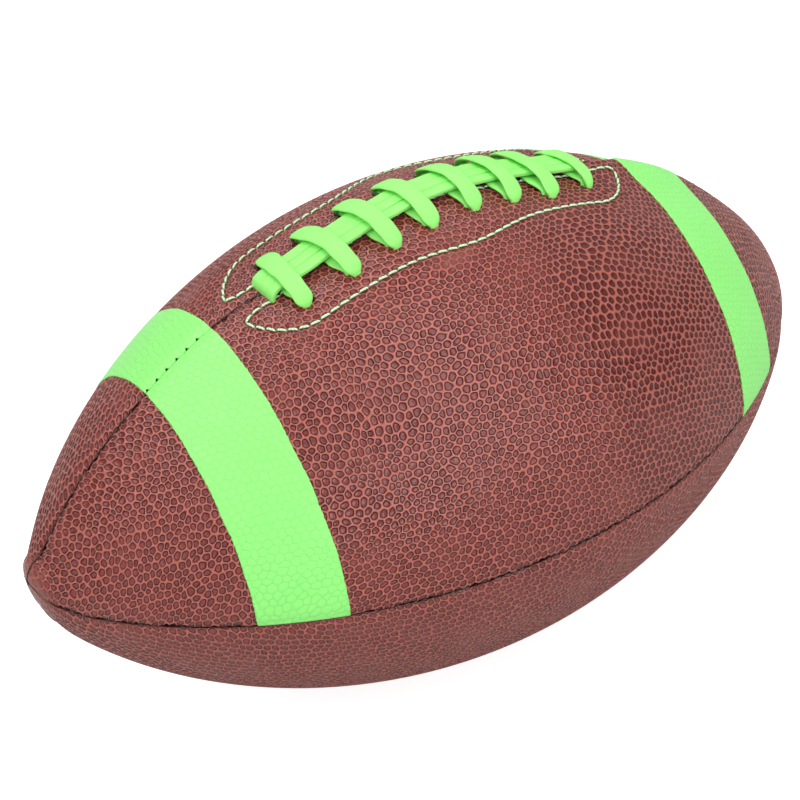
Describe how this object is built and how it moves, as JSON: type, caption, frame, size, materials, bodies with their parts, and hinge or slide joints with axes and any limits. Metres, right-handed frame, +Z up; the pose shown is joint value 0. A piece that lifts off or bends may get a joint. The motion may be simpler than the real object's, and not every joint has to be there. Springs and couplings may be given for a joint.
{
  "type": "american football",
  "caption": "Laced ball with pointed ends: sewn panels of grained leather over an inflated bladder, with a marker stripe near each end.",
  "frame": {"origin": "middle of the underside, on the small flat that the ball lies on", "axes": "+X along the long axis, +Z up through the lacing, +Y across the ball, away from the picture's camera"},
  "size_m": [0.2778, 0.1558, 0.1606],
  "materials": {
    "cover": "pebbled grain, satin ridges round darker glossy cells",
    "lining": "woven cotton, matte",
    "bladder": "smooth, satin",
    "valve": "smooth, matte",
    "stripe": "thin film pressed over the grain, satin",
    "pad": "reinforcing canvas, matte",
    "lace": "soft coated lace, matte"
  },
  "bodies": {
    "root": {"cover_upper_near": "cover", "cover_upper_far": "cover", "cover_lower_near": "cover", "cover_lower_far": "cover", "lining_upper_near": "lining", "lining_upper_far": "lining", "lining_lower_near": "lining", "lining_lower_far": "lining", "bladder": "bladder", "valve": "valve", "stripe_left_near": "stripe", "stripe_left_far": "stripe", "stripe_right_near": "stripe", "stripe_right_far": "stripe", "lace_pad_near": "pad", "lace_pad_far": "pad", "lace_guard": "pad", "lace_strand_1": "lace", "lace_strand_2": "lace", "lace_strand_3": "lace", "lace_turn_1": "lace", "lace_turn_2": "lace", "lace_turn_3": "lace", "lace_turn_4": "lace", "lace_turn_5": "lace", "lace_turn_6": "lace", "lace_turn_7": "lace", "lace_turn_8": "lace"}
  },
  "joints": []
}
